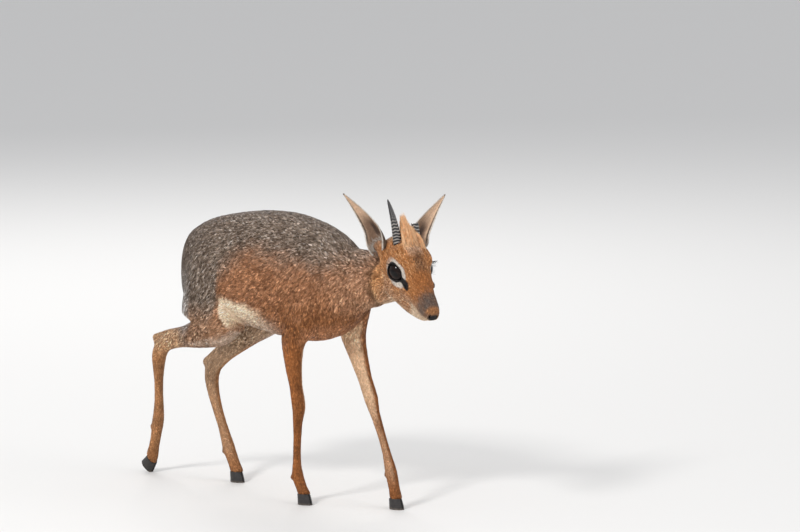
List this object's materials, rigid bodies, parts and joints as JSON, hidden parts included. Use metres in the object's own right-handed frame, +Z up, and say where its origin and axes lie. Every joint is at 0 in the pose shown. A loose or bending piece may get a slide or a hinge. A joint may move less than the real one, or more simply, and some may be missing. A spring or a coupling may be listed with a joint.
{
  "type": "dik-dik",
  "caption": "Small antelope in mid stride, its head lowered and turned to one side, with a ringed horn, a brow tuft, a long soft snout and slender legs.",
  "frame": {"origin": "middle of the underside of the box around the whole animal, on the floor it stands on", "axes": "+X ahead along the body, +Y to the animal's left, +Z up"},
  "size_m": [0.606, 0.1746, 0.4556],
  "materials": {
    "coat_grizzled": "short dense fur, salt and pepper grey over the back and rump",
    "coat_red": "short sleek fur, red-brown on head, neck and legs",
    "coat_ear": "thin pale fur, darker inside",
    "horn": "dark ringed horn, smoother near the tip",
    "hoof": "black hoof, slightly worn",
    "eye": "wet dark brown, almost black"
  },
  "bodies": {
    "root": {"torso": "coat_grizzled", "neck": "coat_red", "head": "coat_red", "tail": "coat_red", "foreleg_right": "coat_red", "foreleg_left": "coat_red", "hindleg_right": "coat_red", "hindleg_left": "coat_red", "ear_right": "coat_ear", "ear_left": "coat_ear", "horn_right": "horn", "horn_left": "horn", "eye_right": "eye", "eye_left": "eye", "hoof_fore_right_outer": "hoof", "hoof_fore_right_inner": "hoof", "hoof_fore_left_outer": "hoof", "hoof_fore_left_inner": "hoof", "hoof_hind_right_outer": "hoof", "hoof_hind_right_inner": "hoof", "hoof_hind_left_outer": "hoof", "hoof_hind_left_inner": "hoof"}
  },
  "joints": []
}
